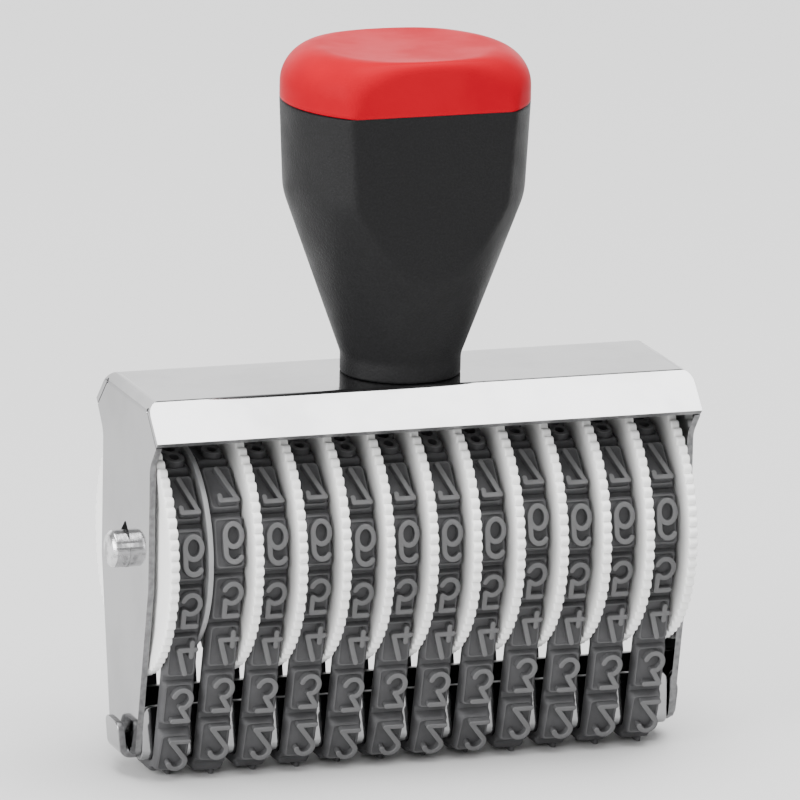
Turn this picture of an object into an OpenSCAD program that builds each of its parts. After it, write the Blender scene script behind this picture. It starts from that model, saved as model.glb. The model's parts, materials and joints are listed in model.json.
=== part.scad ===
// Hand numbering stamp: twelve rubber number bands on twelve thumbwheels.
// X runs along the axle, -Y is the front, +Z is up.
// The origin lies under the middle of the stamp, in the plane of the raised figures that print.

/* [Number bands] */
// Width of a rubber band
band_w = 3.8; // [3.4:0.1:4.4]
// Thickness of the plain belt under the character pads
belt_t = 0.8; // [0.6:0.05:1]
// Height of a character pad above the belt
pad_h = 0.65; // [0.5:0.05:0.9]
// Height of a raised figure above its pad
type_h = 0.65; // [0.4:0.05:0.9]
// Free length between the feet of two neighbouring pads
pad_foot_gap = 0.6; // [0.4:0.1:1]
// Free length between the tops of two neighbouring pads
pad_top_gap = 0.9; // [0.7:0.1:1.3]
// Overall height of a figure
figure_h = 4.5; // [4:0.1:4.8]
// Overall width of a figure
figure_w = 2.6; // [2.3:0.1:2.7]
// Width of the strokes that a figure is drawn with
stroke_w = 0.66; // [0.4:0.02:0.7]
// Distance from the middle of a band to the middle of its figures
figure_shift = 0.4; // [0:0.05:0.4]

/* [Thumbwheels] */
// Diameter over the teeth of a thumbwheel
flange_d = 28.8; // [27:0.2:32]
// Thickness of the toothed flange
flange_t = 1; // [0.9:0.05:1.5]
// Number of rounded teeth round the flange
tooth_count = 72; // [50:2:80]
// Depth of the valleys between the teeth
tooth_depth = 0.5; // [0.3:0.05:0.6]
// Diameter of the drum that the band runs on
drum_d = 18.7; // [17:0.1:20]
// Wall of the drum
drum_wall = 1.3; // [1:0.1:2]
// Diameter of the boss round the axle
boss_d = 7.4; // [6.4:0.1:9]
// Number of ribs between boss and drum
rib_count = 6; // [3:1:8]
// Thickness of a rib
rib_t = 0.9; // [0.6:0.1:1.4]
// Thickness of the disc between the first two bands
disc_t = 0.6; // [0.5:0.05:0.9]
// Diameter of the disc between the first two bands
disc_d = 23.8; // [22:0.2:26]

/* [Axle] */
// Diameter of the axle
axle_d = 4.2; // [3.6:0.1:5]
// How far the axle stands out of each side plate
axle_out = 2; // [0.8:0.1:3]
// Chamfer on the ends of the axle
axle_chamfer = 0.4; // [0.2:0.1:0.6]

/* [Housing] */
// Thickness of the bent sheet
sheet_t = 0.7; // [0.5:0.05:1]
// Depth of the flat top between its two folds
top_depth = 14.8; // [14.2:0.1:17]
// How far each lip reaches out from its fold
lip_out = 4; // [3:0.1:5]
// How far each lip drops below the top
lip_drop = 3.9; // [3:0.1:4.8]
// Depth of the side plates at the axle
waist_depth = 17.4; // [16:0.2:20]
// Depth of the side plates at their lower edge, and of the print bridge
foot_depth = 9.2; // [8.6:0.1:11]
// Outer radius of the bends between top and side plates
bend_r = 1.3; // [1.1:0.1:2]
// Slit between the back of a lip and the edge of the side plate behind it
lip_slit = 0.15; // [0.1:0.05:0.3]

/* [Print bridge] */
// Thickness of the bridge's sheet
bridge_t = 0.8; // [0.6:0.05:1]
// Height of the bridge's walls above the lower edge of the side plates
bridge_wall_h = 5.6; // [4:0.1:6.5]
// Outer radius of the edges that the bands turn round
bridge_edge_r = 1.3; // [1:0.1:1.6]
// Width of the hook under each side plate
hook_w = 4.8; // [4:0.1:6]
// Height of the hook's outer tab
hook_h = 4.1; // [3:0.1:5]
// How far the outer tab leans away from the side plate over its height
hook_lean = 0.4; // [0:0.1:0.6]

/* [Handle] */
// Diameter of the neck that stands on the housing
neck_d = 13.6; // [12:0.1:14]
// Height of the straight neck
neck_h = 2.2; // [1.5:0.1:4]
// Diameter at the top of the cone
shoulder_d = 27.1; // [24:0.1:28]
// Height of the top of the cone above the housing
shoulder_h = 20.8; // [17:0.1:24]
// Diameter where the grip meets its cap
grip_d = 28.1; // [28:0.1:31]
// Height of the black grip
grip_h = 31.3; // [28:0.1:36]
// Distance between the two flats of the handle
flat_depth = 20.5; // [19:0.1:23]
// Height of the red cap above the grip
cap_h = 6; // [5:0.1:8]
// Radius of the cap's rounded edge
cap_edge_r = 3.9; // [2.5:0.1:4.5]
// Wall of the grip and of the cap
handle_wall = 2; // [1.5:0.1:2.5]
// Depth of the ring under the cap that plugs into the grip
plug_depth = 3; // [2:0.1:5]
// Height of the solid foot of the grip
grip_floor = 4; // [3:0.1:6]
// Height of the screw boss inside the grip
boss_h = 16; // [14:0.5:20]

/* [Fixing screw] */
// Diameter of the screw that holds the handle
screw_d = 3.9; // [3:0.1:4.2]
// Length of the screw inside the grip
screw_reach = 12; // [8:0.5:13]
// Diameter of the screw head
screw_head_d = 7; // [6:0.1:8]
// Height of the screw head
screw_head_h = 1.8; // [1.4:0.1:2.4]
// Diameter of the washer under the head
washer_d = 9; // [8:0.1:10]
// Thickness of the washer
washer_t = 0.6; // [0.5:0.1:1]

/* [Clearances] */
// Radial clearance of everything that turns on the axle or holds it
axle_fit = 0.05; // [0.02:0.01:0.09]
// Radial clearance between a drum and the band round it
drum_gap = 0.3; // [0.2:0.05:0.5]
// Free space beside each band
band_gap = 0.16; // [0.08:0.02:0.2]
// Free space between the drum of a wheel and its neighbour
drum_side_gap = 0.12; // [0.1:0.02:0.2]
// Free space between the first wheel and the left side plate
left_gap = 0.2; // [0.2:0.05:0.5]
// Free space between the last wheel and the right side plate
right_gap = 0.5; // [0.2:0.05:0.8]
// Free space between the bands and the bridge
bridge_gap = 0.05; // [0.02:0.01:0.1]
// Free space between the bridge and the insides of the side plates
bridge_end_gap = 0.1; // [0.05:0.05:0.3]
// Free space between a side plate and the foot of the hook's outer tab
hook_gap = 0.2; // [0.1:0.05:0.4]
// Free height between the wheels and the head of the fixing screw
head_gap = 1; // [0.5:0.1:2]
// Free height between the wheels and the walls of the bridge
under_wheel_gap = 2.9; // [1:0.1:5]
// Clearance of the cap's ring in the grip
plug_fit = 0.1; // [0.05:0.05:0.2]
// Radial clearance round the fixing screw in its washer and in the housing
screw_hole_gap = 0.2; // [0.1:0.05:0.4]
// Radial clearance round the fixing screw in the grip
screw_fit = 0.05; // [0.02:0.01:0.1]

/* [Hidden] */

$fn = 96;
wheel_count = 12;
cell_count = 15;
// Characters in their order round a band, starting at the print face and going up the front
characters = ["1", "2", "3", "4", "5", "6", "7", "8", "9", "0", "-", "/", ".", "+", " "];
// How far the character at the print face stands forward of the middle, band by band
wound_past = [0.6, 1.6, 1.2, 1.3, 0.5, 0.6, 0.4, 0.4, 1.4, 1.1, 1, 1.1];
// Small overlap that joins two shapes of one solid, and overshoot of a cut
join = 0.1;
overshoot = 1;
// A size that reaches past the whole stamp
beyond = 200;

flange_r = flange_d / 2;
axle_r = axle_d / 2;
bore_r = axle_r + axle_fit;
wheel_pitch = band_w + 2 * band_gap + flange_t;

// Places along the axle, counted from the inside of the left side plate
first_flange_end = left_gap + flange_t;
first_band_x = first_flange_end + band_gap + band_w / 2;
disc_x = first_flange_end + 2 * band_gap + band_w;
second_band_x = disc_x + disc_t + band_gap + band_w / 2;
stack_end = second_band_x + (wheel_count - 2) * wheel_pitch + band_w / 2 + band_gap + flange_t;
inner_w = stack_end + right_gap;
frame_w = inner_w + 2 * sheet_t;

// Heights counted from the middle of the axle
top_rise = flange_r + head_gap + screw_head_h + washer_t + sheet_t;
plate_drop = flange_r + under_wheel_gap + bridge_wall_h;
bridge_drop = plate_drop + bridge_t;

// Heights counted from the print plane
axle_z = bridge_drop + bridge_gap + belt_t + pad_h + type_h;
top_z = axle_z + top_rise;
cap_z = top_z + grip_h;

top_half = top_depth / 2;
waist_half = waist_depth / 2;
foot_half = foot_depth / 2;
ear_y = top_half + lip_out;
ear_rise = top_rise - lip_drop;

// ---- Small helpers ----

// Place along X of a count from the inside of the left side plate
function along(x) = x - inner_w / 2;

function unit(v) = v / norm(v);
function short_turn(a) = a > 180 ? a - 360 : a < -180 ? a + 360 : a;

// One corner [x, y, radius] of an outline, as the points of its rounding
function corner_points(before, corner, after, steps) =
    let (
        p = [corner[0], corner[1]],
        u = unit([before[0], before[1]] - p),
        v = unit([after[0], after[1]] - p),
        half = acos(u * v) / 2,
        middle = p + unit(u + v) * corner[2] / sin(half),
        from = p + u * corner[2] / tan(half) - middle,
        to = p + v * corner[2] / tan(half) - middle,
        start = atan2(from[1], from[0]),
        turn = short_turn(atan2(to[1], to[0]) - start)
    )
    corner[2] == 0 ? [p] :
    [for (i = [0:steps])
        middle + corner[2] * [cos(start + turn * i / steps), sin(start + turn * i / steps)]];

// A closed outline whose corners are [x, y, radius]
function rounded(corners, steps = 5) =
    let (n = len(corners))
    [for (i = [0:n - 1])
        each corner_points(corners[(i + n - 1) % n], corners[i], corners[(i + 1) % n], steps)];

// A corner without rounding
function sharp(p) = [p[0], p[1], 0];

// The right half of an outline that is the same on both sides of x = 0
function both_sides(half) =
    concat(half, [for (i = [len(half) - 1:-1:0]) [-half[i][0], half[i][1], half[i][2]]]);

// Extrude an outline drawn in [Y, Z] along X, centred
module along_x(length) {
    rotate([90, 0, 90])
        linear_extrude(height = length, center = true)
            children();
}

// Extrude an outline drawn in [X, Z] along Y, centred
module along_y(length) {
    rotate([90, 0, 0])
        linear_extrude(height = length, center = true)
            children();
}

module cylinder_x(r, length) {
    rotate([0, 90, 0])
        cylinder(r = r, h = length);
}

module both_ends() {
    children();
    mirror([1, 0, 0])
        children();
}

// ---- Housing: one bent sheet with top, two lips and two side plates ----

ear_neck_drop = 3.2;
neck_round = 2.5;
knee_drop = 2.7;
knee_round = 6;
foot_round = 0.8;
fold_round = 0.9;
fold_turn = atan2(lip_drop, lip_out);
// The inside of a fold lies nearer the middle than its outside
fold_inset = sheet_t * tan(fold_turn / 2);
// Directions down a lip and out of it, and the two ends of it in [Y, Z] from the axle
down_lip = [cos(fold_turn), -sin(fold_turn)];
out_of_lip = [sin(fold_turn), cos(fold_turn)];
lip_end = [ear_y, ear_rise];
lip_back_start = [top_half - fold_inset, top_rise - sheet_t];
lip_back_end = lip_end - sheet_t * out_of_lip;

// Side view of a side plate, in [Y, Z] from the axle
plate_outline = rounded(both_sides([
    [foot_half, -plate_drop, foot_round],
    [waist_half, -knee_drop, knee_round],
    [waist_half, ear_rise - ear_neck_drop, neck_round],
    [ear_y, ear_rise, 0],
    [top_half, top_rise, fold_round]
]));

// Side view of everything inside the sheet, down to below the side plates
inside_outline = rounded(both_sides([
    [ear_y + beyond, -beyond, 0],
    [ear_y + beyond, ear_rise, 0],
    sharp(lip_end),
    sharp(lip_back_end),
    sharp(lip_back_start)
]));

// Front view of a box with two rounded upper corners, open far below
function front_outline(width, rise, radius) = rounded(both_sides([
    [width / 2, -beyond, 0],
    [width / 2, rise, radius]
]));

// Keyhole in a side plate: a round seat for the axle with a peak above it
keyhole_half = axle_r - 0.4;
keyhole_peak = axle_r + 1.2;
keyhole_side_round = 0.8;
keyhole_peak_round = 0.5;
module keyhole() {
    along_x(beyond)
        circle(r = bore_r);
    along_x(beyond)
        polygon(rounded([
            [keyhole_half, 0, 0],
            [keyhole_half, keyhole_half, keyhole_side_round],
            [0, keyhole_peak, keyhole_peak_round],
            [-keyhole_half, keyhole_half, keyhole_side_round],
            [-keyhole_half, 0, 0]
        ]));
}

// Slit that frees a lip from the side plates behind it, with a round relief at its upper end
slit_start = 0.4;
relief_r = 0.3;
module lip_slit_cut() {
    start = lip_back_start + slit_start * down_lip;
    past = lip_end + overshoot * down_lip;
    along_x(beyond)
        polygon([
            start,
            lip_back_end,
            lip_end + overshoot * out_of_lip,
            past + overshoot * out_of_lip,
            past - (sheet_t + lip_slit) * out_of_lip,
            start - lip_slit * out_of_lip
        ]);
    both_ends()
        translate([inner_w / 2, start[0], start[1]])
            cylinder_x(relief_r, sheet_t + overshoot);
}

module housing() {
    color("silver")
    difference() {
        translate([0, 0, axle_z])
            difference() {
                intersection() {
                    along_x(frame_w)
                        polygon(plate_outline);
                    along_y(beyond)
                        polygon(front_outline(frame_w, top_rise, bend_r));
                }
                intersection() {
                    along_x(inner_w)
                        polygon(inside_outline);
                    along_y(3 * beyond)
                        polygon(front_outline(inner_w, top_rise - sheet_t, bend_r - sheet_t));
                }
                lip_slit_cut();
                mirror([0, 1, 0])
                    lip_slit_cut();
                keyhole();
            }
        translate([0, 0, top_z - sheet_t - overshoot])
            cylinder(r = screw_d / 2 + screw_hole_gap, h = sheet_t + 2 * overshoot);
    }
}

// ---- Print bridge: a channel under the bands, hooked round both side plates ----

bridge_inner_r = bridge_edge_r - bridge_t;
bridge_top_round = 1.2;
hook_x = frame_w / 2 + hook_gap;
hook_top_x = hook_x + hook_lean;
hook_round = 1;

// The channel's section, in [Y, Z] from the axle
bridge_section = rounded([
    [foot_half, bridge_wall_h - plate_drop, 0],
    [foot_half, -bridge_drop, bridge_edge_r],
    [-foot_half, -bridge_drop, bridge_edge_r],
    [-foot_half, bridge_wall_h - plate_drop, 0],
    [bridge_t - foot_half, bridge_wall_h - plate_drop, 0],
    [bridge_t - foot_half, -plate_drop, bridge_inner_r],
    [foot_half - bridge_t, -plate_drop, bridge_inner_r],
    [foot_half - bridge_t, bridge_wall_h - plate_drop, 0]
]);

module print_bridge() {
    hook_inside = inner_w / 2 - bridge_end_gap - join;
    color("lightgray")
    translate([0, 0, axle_z]) {
        intersection() {
            along_x(inner_w - 2 * bridge_end_gap)
                polygon(bridge_section);
            along_y(beyond)
                polygon(front_outline(inner_w - 2 * bridge_end_gap,
                    bridge_wall_h - plate_drop, bridge_top_round));
        }
        both_ends()
            intersection() {
                along_y(hook_w)
                    polygon(rounded([
                        [hook_inside, -bridge_drop, 0],
                        [hook_x + bridge_t, -bridge_drop, bridge_edge_r],
                        [hook_top_x + bridge_t, hook_h - bridge_drop, 0],
                        [hook_top_x, hook_h - bridge_drop, 0],
                        [hook_x, -plate_drop, bridge_inner_r],
                        [hook_inside, -plate_drop, 0]
                    ]));
                along_x(beyond)
                    polygon(rounded(both_sides([
                        [hook_w / 2, -beyond, 0],
                        [hook_w / 2, hook_h - bridge_drop, hook_round]
                    ])));
            }
    }
}

// ---- Axle and what turns on it ----

module axle() {
    length = frame_w + 2 * axle_out;
    color("gainsboro")
    translate([0, 0, axle_z])
        rotate([0, 90, 0])
            rotate_extrude()
                polygon([
                    [0, -length / 2],
                    [axle_r - axle_chamfer, -length / 2],
                    [axle_r, axle_chamfer - length / 2],
                    [axle_r, length / 2 - axle_chamfer],
                    [axle_r - axle_chamfer, length / 2],
                    [0, length / 2]
                ]);
}

module separator_disc() {
    color("lightgray")
    translate([along(disc_x), 0, axle_z])
        difference() {
            cylinder_x(disc_d / 2, disc_t);
            translate([-overshoot, 0, 0])
                cylinder_x(bore_r, disc_t + 2 * overshoot);
        }
}

// Half the chord between two valleys, and the circle that rounds a tooth
tooth_half = flange_r * sin(180 / tooth_count);
tooth_r = (tooth_half * tooth_half + tooth_depth * tooth_depth) / (2 * tooth_depth);

tooth_sides = 24;

// A toothed flange with its face on x = 0, reaching to x = flange_t
module toothed_flange() {
    rotate([0, 90, 0])
        linear_extrude(height = flange_t) {
            circle(r = flange_r - tooth_depth);
            for (i = [0:tooth_count - 1])
                rotate(i * 360 / tooth_count)
                    translate([flange_r - tooth_r, 0])
                        circle(r = tooth_r, $fn = tooth_sides);
        }
}

drum_r = drum_d / 2;
drum_w = band_w + 2 * band_gap - drum_side_gap;

// A wheel whose flange starts at x = 0 and whose drum reaches towards -X
module thumbwheel_shape() {
    difference() {
        union() {
            toothed_flange();
            translate([-drum_w, 0, 0]) {
                difference() {
                    cylinder_x(drum_r, drum_w + join);
                    translate([-overshoot, 0, 0])
                        cylinder_x(drum_r - drum_wall, drum_w + overshoot);
                }
                cylinder_x(boss_d / 2, drum_w + join);
                for (i = [0:rib_count - 1])
                    rotate([i * 360 / rib_count, 0, 0])
                        translate([0, -rib_t / 2, boss_d / 2 - rib_t])
                            cube([drum_w + join, rib_t, drum_r - drum_wall / 2 - boss_d / 2 + rib_t]);
            }
        }
        translate([-drum_w - overshoot, 0, 0])
            cylinder_x(bore_r, drum_w + flange_t + 2 * overshoot);
    }
}

// The first wheel has its flange on the left of its band, the others on the right
module thumbwheel(number) {
    color("whitesmoke")
    if (number == 1)
        translate([along(first_flange_end), 0, axle_z])
            mirror([1, 0, 0])
                thumbwheel_shape();
    else
        translate([along(band_x(number) + band_w / 2 + band_gap), 0, axle_z])
            thumbwheel_shape();
}

// ---- Number bands ----

function band_x(number) =
    number == 1 ? first_band_x : second_band_x + (number - 2) * wheel_pitch;

// The path of a band's middle surface, in [Y, Z] from the axle. It starts under the
// middle of the bridge and goes up the front, over the drum and down the back.
loop_r = drum_r + drum_gap + belt_t / 2;
turn_r = bridge_edge_r + bridge_gap + belt_t / 2;
turn_y = foot_half - bridge_edge_r;
turn_z = bridge_edge_r - bridge_drop;
turn_distance = norm([turn_y, turn_z]);
straight = sqrt(turn_distance * turn_distance - pow(loop_r - turn_r, 2));
lean = acos((loop_r - turn_r) / turn_distance) + atan2(turn_y, -turn_z);
turn_length = turn_r * lean * PI / 180;
over_length = loop_r * (180 - lean) * PI / 180;
half_loop = turn_y + turn_length + straight + over_length;
pitch = 2 * half_loop / cell_count;

// Direction that points out of the loop at an angle counted from straight down
function outward(a) = [-sin(a), -cos(a)];

// Place and angle [Y, Z, angle] on the path at a length counted from its start
function path_front(s) =
    s < turn_y ? [-s, turn_z - turn_r, 0] :
    s < turn_y + turn_length ?
        let (a = (s - turn_y) / turn_r * 180 / PI, p = [-turn_y, turn_z] + turn_r * outward(a))
        [p[0], p[1], a] :
    s < turn_y + turn_length + straight ?
        let (p = [-turn_y, turn_z] + turn_r * outward(lean)
            + (s - turn_y - turn_length) * [-cos(lean), sin(lean)])
        [p[0], p[1], lean] :
    let (a = lean + (s - turn_y - turn_length - straight) / loop_r * 180 / PI, p = loop_r * outward(a))
    [p[0], p[1], a];
function path(s) =
    s < 0 ? path(s + 2 * half_loop) :
    s > 2 * half_loop ? path(s - 2 * half_loop) :
    s > half_loop ? let (p = path_front(2 * half_loop - s)) [-p[0], p[1], 360 - p[2]] :
    path_front(s);

// Point at a height above the middle surface
function lifted(s, h) = let (p = path(s)) [p[0], p[1]] + h * outward(p[2]);

inner_steps = 90;
blank_steps = 8;
figure_sink = 0.3;
pad_h_middle = belt_t / 2 + pad_h;
drum_start = turn_y + turn_length + straight;

// Place of a pad on the path. The pad that prints lies flat against the bridge; every
// other pad is stiff and takes the mean direction of the path under it.
function pad_place(number, k) = wound_past[number - 1] + k * pitch;
function pad_angle(s) =
    let (a = path(s - pitch / 2), b = path(s + pitch / 2))
    s < turn_y / 2 ? 0 : atan2(b[1] - a[1], a[0] - b[0]);

// How much longer a pad gets where the band bends round the drum
function on_drum(s) = min(max((min(s, 2 * half_loop - s) - drum_start) / pitch + 0.5, 0), 1);
function stretch(s) = 1 + on_drum(s) * pad_h_middle / loop_r;

// Point above a pad, at a distance along it from its middle
function pad_point(s, t, h) =
    let (a = pad_angle(s), p = path(s))
    [p[0], p[1]] + h * outward(a) + t * [-cos(a), sin(a)];

// The band is bare belt where its character is a blank
function band_outside(number) =
    [for (k = [0:cell_count - 1])
        let (s = pad_place(number, k), foot = pitch - pad_foot_gap, top = (pitch - pad_top_gap) * stretch(s))
        each characters[k] == " " ?
            [for (i = [0:blank_steps]) lifted(s + foot * (i / blank_steps - 0.5), belt_t / 2)] :
            [
                lifted(s - foot / 2, belt_t / 2),
                pad_point(s, -top / 2, pad_h_middle),
                pad_point(s, top / 2, pad_h_middle),
                lifted(s + foot / 2, belt_t / 2)
            ]];
band_inside = [for (i = [0:inner_steps - 1]) lifted(i * 2 * half_loop / inner_steps, -belt_t / 2)];

// A figure is drawn with strokes: open ones have round ends, closed ones are rings.
// Half the size of the box that holds the middle lines of the strokes
half_w = (figure_w - stroke_w) / 2;
half_h = (figure_h - stroke_w) / 2;
figure_steps = 10;

// Points of an elliptical arc, in units of the box
function arc(cx, cy, rx, ry, from, to) =
    [for (i = [0:figure_steps])
        let (a = from + (to - from) * i / figure_steps)
        [cx + rx * cos(a), cy + ry * sin(a)]];

function strokes(name) =
    name == "0" ? [concat(arc(0, 0.49, 1, 0.51, 0, 180), arc(0, -0.49, 1, 0.51, 180, 360))] :
    name == "1" ? [[[-0.5, 0.62], [0.2, 1]], [[0.2, 1], [0.2, -1]]] :
    name == "2" ? [concat(arc(0, 0.49, 1, 0.51, 165, -20), [[-1, -1]]), [[-1, -1], [1, -1]]] :
    name == "3" ? [[[-1, 1], [0.85, 1]], [[0.85, 1], [-0.15, 0.14]],
        concat([[-0.15, 0.14]], arc(-0.05, -0.42, 1.05, 0.58, 75, -160))] :
    name == "4" ? [[[-0.1, 1], [-1, -0.54]], [[-1, -0.54], [1, -0.54]], [[0.5, -0.1], [0.5, -1]]] :
    name == "5" ? [[[0.75, 1], [-0.85, 1]], [[-0.85, 1], [-0.85, 0.02]],
        concat([[-0.85, 0.02]], arc(-0.05, -0.4, 1.05, 0.6, 105, -155))] :
    name == "6" ? [arc(0, -0.4, 1, 0.6, 0, 360),
        concat([[-1, -0.4]], arc(0, 0.49, 1, 0.51, 180, 35))] :
    name == "7" ? [[[-1, 0.7], [-1, 1]], [[-1, 1], [1, 1]], [[1, 1], [-0.55, -1]]] :
    name == "8" ? [arc(0, 0.52, 0.85, 0.48, 0, 360), arc(0, -0.48, 1, 0.52, 0, 360)] :
    name == "9" ? [arc(0, 0.4, 1, 0.6, 0, 360),
        concat([[1, 0.4]], arc(0, -0.49, 1, 0.51, 0, -145))] :
    name == "-" ? [[[-0.75, 0], [0.75, 0]]] :
    name == "/" ? [[[-0.8, -1], [0.8, 1]]] :
    name == "." ? [[[0, -1], [0.02, -0.95]]] :
    name == "+" ? [[[-0.85, 0], [0.85, 0]], [[0, -0.45], [0, 0.45]]] :
    [];

// A figure is mirrored so that it prints the right way round
function drawn(p, longer) = [p[0] * half_w, -p[1] * half_h * longer];

// Direction of a line at one of its points, and the normal to it
function heading(line, i) = unit(line[min(i + 1, len(line) - 1)] - line[max(i - 1, 0)]);
function sideways(line, i) = let (d = heading(line, i)) [-d[1], d[0]];
function is_ring(line) = norm(line[0] - line[len(line) - 1]) < 0.001;
function ring_side(line, i) =
    let (n = len(line) - 1, d = unit(line[(i + 1) % n] - line[(i + n - 1) % n]))
    [-d[1], d[0]];

end_steps = 5;
function round_end(middle, towards) =
    [for (i = [1:end_steps - 1])
        let (a = atan2(towards[1], towards[0]) - 180 * i / end_steps)
        middle + stroke_w / 2 * [cos(a), sin(a)]];

function open_outline(line) =
    let (last = len(line) - 1)
    concat(
        [for (i = [0:last]) line[i] + sideways(line, i) * stroke_w / 2],
        round_end(line[last], sideways(line, last)),
        [for (i = [last:-1:0]) line[i] - sideways(line, i) * stroke_w / 2],
        round_end(line[0], -sideways(line, 0))
    );

module stroke(line) {
    if (is_ring(line)) {
        count = len(line) - 1;
        polygon(
            concat(
                [for (i = [0:count - 1]) line[i] + ring_side(line, i) * stroke_w / 2],
                [for (i = [0:count - 1]) line[i] - ring_side(line, i) * stroke_w / 2]
            ),
            [[for (i = [0:count - 1]) i], [for (i = [0:count - 1]) count + i]]
        );
    } else
        polygon(open_outline(line));
}

module figures(number) {
    for (k = [0:cell_count - 1]) {
        s = pad_place(number, k);
        place = pad_point(s, 0, pad_h_middle - figure_sink);
        translate([figure_shift, place[0], place[1]])
            rotate([180 - pad_angle(s), 0, 0])
                for (line = strokes(characters[k]))
                    linear_extrude(height = figure_sink + type_h)
                        stroke([for (p = line) drawn(p, stretch(s))]);
    }
}

module number_band(number) {
    outside = band_outside(number);
    count = len(outside);
    color("dimgray")
    translate([along(band_x(number)), 0, axle_z]) {
        along_x(band_w)
            polygon(
                concat(outside, band_inside),
                [[for (i = [0:count - 1]) i], [for (i = [0:inner_steps - 1]) count + i]]
            );
        figures(number);
    }
}

// ---- Handle ----

grip_r = grip_d / 2;
neck_r = neck_d / 2;
neck_edge = 0.25;
neck_top_round = 2;
shoulder_round = 8;
wall_lean = atan2((shoulder_d - neck_d) / 2, shoulder_h - neck_h);

// Radius of the cone inside the wall at a height above the housing
function cone_inside(h) = neck_r + (h - neck_h) * tan(wall_lean) - handle_wall / cos(wall_lean);

// The screw boss keeps clear of the wall of the cone
boss_wall = 2;
boss_clear = 0.8;
boss_r = min(screw_d / 2 + boss_wall, cone_inside(grip_floor) - boss_clear);

// Keep what lies between the two flats
module between_flats(inset) {
    intersection() {
        children();
        cube([beyond, flat_depth - 2 * inset, 2 * beyond], center = true);
    }
}

module handle_grip() {
    color([0.13, 0.13, 0.14])
    translate([0, 0, top_z])
        difference() {
            between_flats(0)
                rotate_extrude()
                    polygon(rounded([
                        [0, 0, 0],
                        [neck_r, 0, neck_edge],
                        [neck_r, neck_h, neck_top_round],
                        [shoulder_d / 2, shoulder_h, shoulder_round],
                        [grip_r, grip_h, 0],
                        [0, grip_h, 0]
                    ]));
            between_flats(handle_wall)
                rotate_extrude()
                    polygon([
                        [boss_r, grip_floor],
                        [cone_inside(grip_floor), grip_floor],
                        [shoulder_d / 2 - handle_wall, shoulder_h],
                        [grip_r - handle_wall, grip_h - plug_depth - plug_fit],
                        [grip_r - handle_wall, grip_h + overshoot],
                        [0, grip_h + overshoot],
                        [0, boss_h],
                        [boss_r, boss_h]
                    ]);
            translate([0, 0, -overshoot])
                cylinder(r = screw_d / 2 + screw_fit, h = screw_reach + 2 * overshoot);
        }
}

// The cap's rounded edge from a radius and a height, as far as the flat plateau
cap_edge_steps = 8;
function cap_edge(r, h, edge) =
    [for (i = [0:cap_edge_steps])
        let (a = 90 * i / cap_edge_steps)
        [r - edge + edge * cos(a), h - edge + edge * sin(a)]];

module handle_cap() {
    plug_r = grip_r - handle_wall - plug_fit;
    color([0.85, 0.08, 0.12])
    translate([0, 0, cap_z]) {
        difference() {
            between_flats(0)
                rotate_extrude()
                    polygon(concat([[0, 0], [grip_r, 0]], cap_edge(grip_r, cap_h, cap_edge_r), [[0, cap_h]]));
            between_flats(2 * handle_wall)
                rotate_extrude()
                    polygon(concat(
                        [[0, -overshoot], [plug_r - handle_wall, -overshoot]],
                        cap_edge(plug_r - handle_wall, cap_h - handle_wall, cap_edge_r - handle_wall),
                        [[0, cap_h - handle_wall]]
                    ));
        }
        between_flats(handle_wall + plug_fit)
            translate([0, 0, -plug_depth])
                cylinder(r = plug_r, h = plug_depth + join);
    }
}

// ---- Fixing screw, driven from inside the housing ----

slot_w = 1;
slot_depth = 0.9;
slot_length = 0.6 * screw_head_d;
module handle_screw() {
    head_z = top_z - sheet_t - washer_t - screw_head_h;
    color("gray")
    translate([0, 0, head_z])
        difference() {
            union() {
                cylinder(r = screw_head_d / 2, h = screw_head_h);
                cylinder(r = screw_d / 2, h = top_z - head_z + screw_reach);
            }
            for (turn = [0, 90])
                rotate(turn)
                    translate([-slot_length / 2, -slot_w / 2, -overshoot])
                        cube([slot_length, slot_w, slot_depth + overshoot]);
        }
}

module screw_washer() {
    color("darkgray")
    translate([0, 0, top_z - sheet_t - washer_t])
        difference() {
            cylinder(r = washer_d / 2, h = washer_t);
            translate([0, 0, -overshoot])
                cylinder(r = screw_d / 2 + screw_hole_gap, h = washer_t + 2 * overshoot);
        }
}

// ---- Nodes ----

housing();
print_bridge();
axle();
separator_disc();
handle_grip();
handle_cap();
handle_screw();
screw_washer();
thumbwheel(1);  // thumbwheel_01
thumbwheel(2);  // thumbwheel_02
thumbwheel(3);  // thumbwheel_03
thumbwheel(4);  // thumbwheel_04
thumbwheel(5);  // thumbwheel_05
thumbwheel(6);  // thumbwheel_06
thumbwheel(7);  // thumbwheel_07
thumbwheel(8);  // thumbwheel_08
thumbwheel(9);  // thumbwheel_09
thumbwheel(10);  // thumbwheel_10
thumbwheel(11);  // thumbwheel_11
thumbwheel(12);  // thumbwheel_12
number_band(1);  // number_band_01
number_band(2);  // number_band_02
number_band(3);  // number_band_03
number_band(4);  // number_band_04
number_band(5);  // number_band_05
number_band(6);  // number_band_06
number_band(7);  // number_band_07
number_band(8);  // number_band_08
number_band(9);  // number_band_09
number_band(10);  // number_band_10
number_band(11);  // number_band_11
number_band(12);  // number_band_12
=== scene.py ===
"""A hand numbering stamp: sheet housing, thumbwheels, rubber number bands and a two-colour handle."""

import json
import math

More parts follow.
